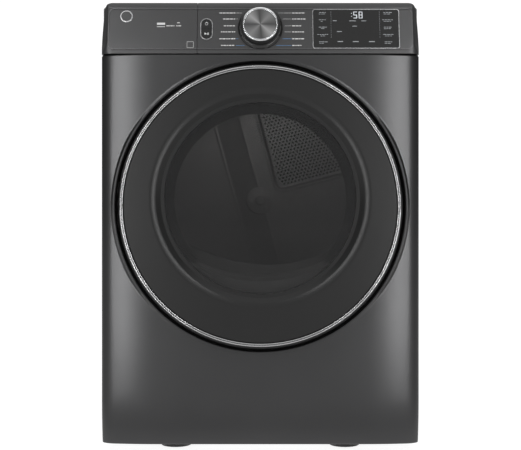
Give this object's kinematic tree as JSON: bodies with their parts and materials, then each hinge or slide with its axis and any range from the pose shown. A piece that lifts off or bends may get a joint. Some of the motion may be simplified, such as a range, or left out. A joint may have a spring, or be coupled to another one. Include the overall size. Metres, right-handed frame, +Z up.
{
  "type": "clothes dryer",
  "caption": "Front-loading tumble dryer with a round dark-glass door, a leaning control console with a dial, and a rear exhaust outlet.",
  "frame": {"origin": "centre of the footprint, at floor level", "axes": "+X to the right of a person facing the door, +Y towards the back, +Z up; the door faces -Y"},
  "size_m": [0.711, 0.813, 1.01],
  "materials": {
    "body_paint": "dark grey satin enamel",
    "console_paint": "dark grey satin moulding",
    "zinc_steel": "plain zinc-coated",
    "drum_steel": "satin stainless",
    "black_plastic": "moulded black",
    "grey_plastic": "moulded grey",
    "gloss_black": "polished black",
    "tinted_glass": "dark tinted",
    "clear_glass": "clear",
    "bright_trim": "polished",
    "knob_metal": "turned and brushed",
    "rubber": "moulded",
    "felt": "pressed felt",
    "board_green": "circuit board",
    "motor_paint": "black enamel",
    "heat_wire": "oxidised wire",
    "filter_mesh": "pale grey moulding"
  },
  "bodies": {
    "cabinet": {"side_panel_left": "body_paint", "side_panel_right": "body_paint", "top_cover": "body_paint", "front_panel": "body_paint", "console_left_cover": "console_paint", "console_fascia": "console_paint", "base_pan": "zinc_steel", "rear_panel": "zinc_steel", "hinge_bracket": "zinc_steel", "moisture_sensor": "zinc_steel", "rear_bulkhead": "zinc_steel", "heater_housing": "zinc_steel", "roller_axle_left": "zinc_steel", "roller_axle_right": "zinc_steel", "exhaust_duct": "zinc_steel", "idler_spring": "zinc_steel", "terminal_cover": "zinc_steel", "door_catch": "black_plastic", "terminal_block": "black_plastic", "front_bulkhead": "grey_plastic", "lint_duct": "grey_plastic", "blower_housing": "grey_plastic", "display_window": "gloss_black", "knob_skirt": "gloss_black", "drum_lamp_lens": "clear_glass", "button_trim": "bright_trim", "drum_belt": "rubber", "front_drum_seal": "felt", "rear_drum_seal": "felt", "control_board": "board_green", "motor_body": "motor_paint", "heater_element": "heat_wire"},
    "door": {"door_ring": "gloss_black", "door_trim_ring": "bright_trim", "door_outer_glass": "tinted_glass", "door_inner_panel": "grey_plastic", "door_inner_window": "clear_glass", "door_gasket": "rubber", "door_strike": "zinc_steel", "door_hinge_arm": "zinc_steel"},
    "drum": {"drum_shell": "drum_steel", "drum_back": "drum_steel", "drum_baffle_1": "grey_plastic", "drum_baffle_2": "grey_plastic", "drum_baffle_3": "grey_plastic", "drum_shaft": "zinc_steel"},
    "left_roller": {"drum_roller_left": "rubber"},
    "right_roller": {"drum_roller_right": "rubber"},
    "rotor": {"motor_shaft": "zinc_steel", "blower_wheel": "black_plastic"},
    "tension_arm": {"idler_arm": "zinc_steel"},
    "tension_pulley": {"idler_pulley": "black_plastic"},
    "knob": {"selector_knob": "knob_metal"},
    "upper_button": {"power_button": "gloss_black"},
    "lower_button": {"start_button": "gloss_black"},
    "filter": {"lint_filter": "filter_mesh"},
    "levelling_foot_front_left": {"foot_front_left": "rubber"},
    "levelling_foot_front_right": {"foot_front_right": "rubber"},
    "levelling_foot_rear_left": {"foot_rear_left": "rubber"},
    "levelling_foot_rear_right": {"foot_rear_right": "rubber"}
  },
  "joints": [
    {"name": "door_hinge", "type": "hinge", "parent": "cabinet", "child": "door", "pos_m": [0.295, -0.382, 0.551], "axis": [0, 0, 1], "range_deg": [0, 120]},
    {"name": "drum_spin", "type": "hinge", "parent": "cabinet", "child": "drum", "pos_m": [0, 0, 0.58], "axis": [0, 1, 0], "continuous": true},
    {"name": "left_roller_spin", "type": "hinge", "parent": "cabinet", "child": "left_roller", "pos_m": [-0.1763, -0.25, 0.27464], "axis": [0, 1, 0], "continuous": true},
    {"name": "right_roller_spin", "type": "hinge", "parent": "cabinet", "child": "right_roller", "pos_m": [0.1763, -0.25, 0.27464], "axis": [0, 1, 0], "continuous": true},
    {"name": "motor_spin", "type": "hinge", "parent": "cabinet", "child": "rotor", "pos_m": [-0.03, -0.02, 0.135], "axis": [0, 1, 0], "continuous": true},
    {"name": "tension_arm_pivot", "type": "hinge", "parent": "cabinet", "child": "tension_arm", "pos_m": [0.04, -0.042, 0.062], "axis": [0, -1, 0], "range_deg": [0, 12], "stiffness_Nm_per_rad": 3, "springref_deg": -17.19, "deforming": ["idler_spring"]},
    {"name": "tension_pulley_spin", "type": "hinge", "parent": "tension_arm", "child": "tension_pulley", "pos_m": [0.07, -0.02, 0.158], "axis": [0, 1, 0], "continuous": true},
    {"name": "knob_turn", "type": "hinge", "parent": "cabinet", "child": "knob", "pos_m": [0, -0.35291, 0.94958], "axis": [0, -0.9744, 0.225], "continuous": true},
    {"name": "upper_button_press", "type": "slide", "parent": "cabinet", "child": "upper_button", "axis": [0, 0.9744, -0.225], "range_m": [0, 0.0015], "stiffness_N_per_m": 600, "springref_m": -0.001},
    {"name": "lower_button_press", "type": "slide", "parent": "cabinet", "child": "lower_button", "axis": [0, 0.9744, -0.225], "range_m": [0, 0.0015], "stiffness_N_per_m": 600, "springref_m": -0.001},
    {"name": "filter_lift", "type": "slide", "parent": "cabinet", "child": "filter", "axis": [0, 0, -1], "range_m": [-0.25, 0]},
    {"name": "foot_screw_front_left", "type": "slide", "parent": "cabinet", "child": "levelling_foot_front_left", "axis": [0, 0, -1], "range_m": [0, 0.02]},
    {"name": "foot_screw_front_right", "type": "slide", "parent": "cabinet", "child": "levelling_foot_front_right", "axis": [0, 0, -1], "range_m": [0, 0.02]},
    {"name": "foot_screw_rear_left", "type": "slide", "parent": "cabinet", "child": "levelling_foot_rear_left", "axis": [0, 0, -1], "range_m": [0, 0.02]},
    {"name": "foot_screw_rear_right", "type": "slide", "parent": "cabinet", "child": "levelling_foot_rear_right", "axis": [0, 0, -1], "range_m": [0, 0.02]}
  ],
  "couplings": [
    {"joint": "left_roller_spin", "follows": "drum_spin", "ratio": -13.08},
    {"joint": "right_roller_spin", "follows": "drum_spin", "ratio": -13.08},
    {"joint": "motor_spin", "follows": "drum_spin", "ratio": 27.2},
    {"joint": "tension_pulley_spin", "follows": "drum_spin", "ratio": 16.37}
  ]
}
